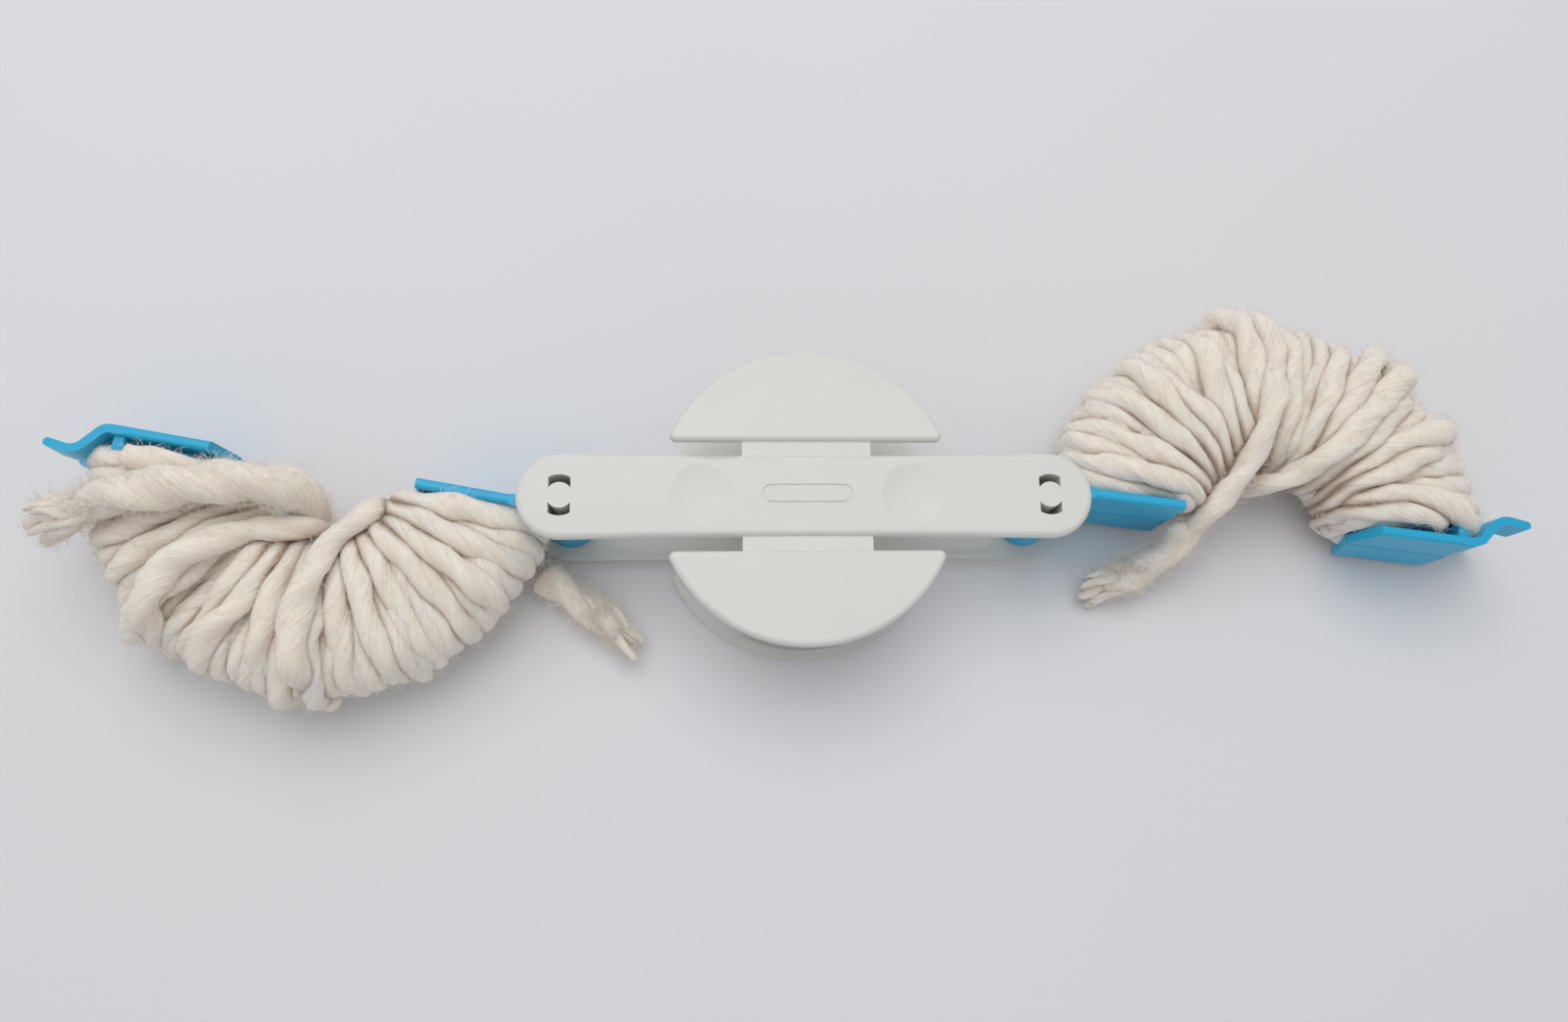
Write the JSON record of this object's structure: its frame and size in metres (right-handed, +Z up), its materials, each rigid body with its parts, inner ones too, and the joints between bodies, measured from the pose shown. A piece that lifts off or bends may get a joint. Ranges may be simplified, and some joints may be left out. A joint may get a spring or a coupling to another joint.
{
  "type": "folding ring pom pom maker with yarn wound on its arms",
  "caption": "Folding pom pom maker lying open: a slim bar with round guards, hinged half-ring arms with latch fingers, and chunky yarn wound on the arms.",
  "frame": {"origin": "middle of the lower bar's outer face, which lies on the table with the lower guards' outer faces", "axes": "+Z up, square to both bars; +X along the bars, towards the right-hand arms; +Y away from the viewer of the picture"},
  "size_m": [0.2915, 0.0797, 0.0341],
  "materials": {
    "white_plastic": "fine satin moulded plastic, warm light grey white",
    "blue_plastic": "satin moulded plastic, bright cyan blue",
    "yarn": "chunky single-ply wool roving, cream"
  },
  "bodies": {
    "frame": {"upper_half": "white_plastic", "lower_half": "white_plastic"},
    "left_upper": {"left_upper_arm": "blue_plastic", "left_yarn_core": "yarn", "left_yarn_wraps": "yarn", "left_yarn_end_tail": "yarn", "left_yarn_start_tail": "yarn"},
    "left_lower": {"left_lower_arm": "blue_plastic"},
    "right_upper": {"right_upper_arm": "blue_plastic", "right_yarn_core": "yarn", "right_yarn_wraps": "yarn", "right_yarn_start_tail": "yarn"},
    "right_lower": {"right_lower_arm": "blue_plastic"}
  },
  "joints": [
    {"name": "left_upper_hinge", "type": "hinge", "parent": "frame", "child": "left_upper", "pos_m": [-0.0474, 0, 0.0125], "axis": [0, 0, 1], "range_deg": [-169.55, 10.45], "deforming": ["left_yarn_wraps", "left_yarn_end_tail", "left_yarn_start_tail"]},
    {"name": "left_lower_hinge", "type": "hinge", "parent": "frame", "child": "left_lower", "pos_m": [-0.0474, 0, 0.0125], "axis": [0, 0, 1], "range_deg": [-169.55, 10.45]},
    {"name": "right_upper_hinge", "type": "hinge", "parent": "frame", "child": "right_upper", "pos_m": [0.0474, 0, 0.0125], "axis": [0, 0, 1], "range_deg": [-172.44, 7.56], "deforming": ["right_yarn_wraps", "right_yarn_start_tail"]},
    {"name": "right_lower_hinge", "type": "hinge", "parent": "frame", "child": "right_lower", "pos_m": [0.0474, 0, 0.0125], "axis": [0, 0, 1], "range_deg": [-172.44, 7.56]}
  ],
  "couplings": [
    {"joint": "left_lower_hinge", "follows": "left_upper_hinge", "ratio": 1},
    {"joint": "right_lower_hinge", "follows": "right_upper_hinge", "ratio": 1}
  ]
}
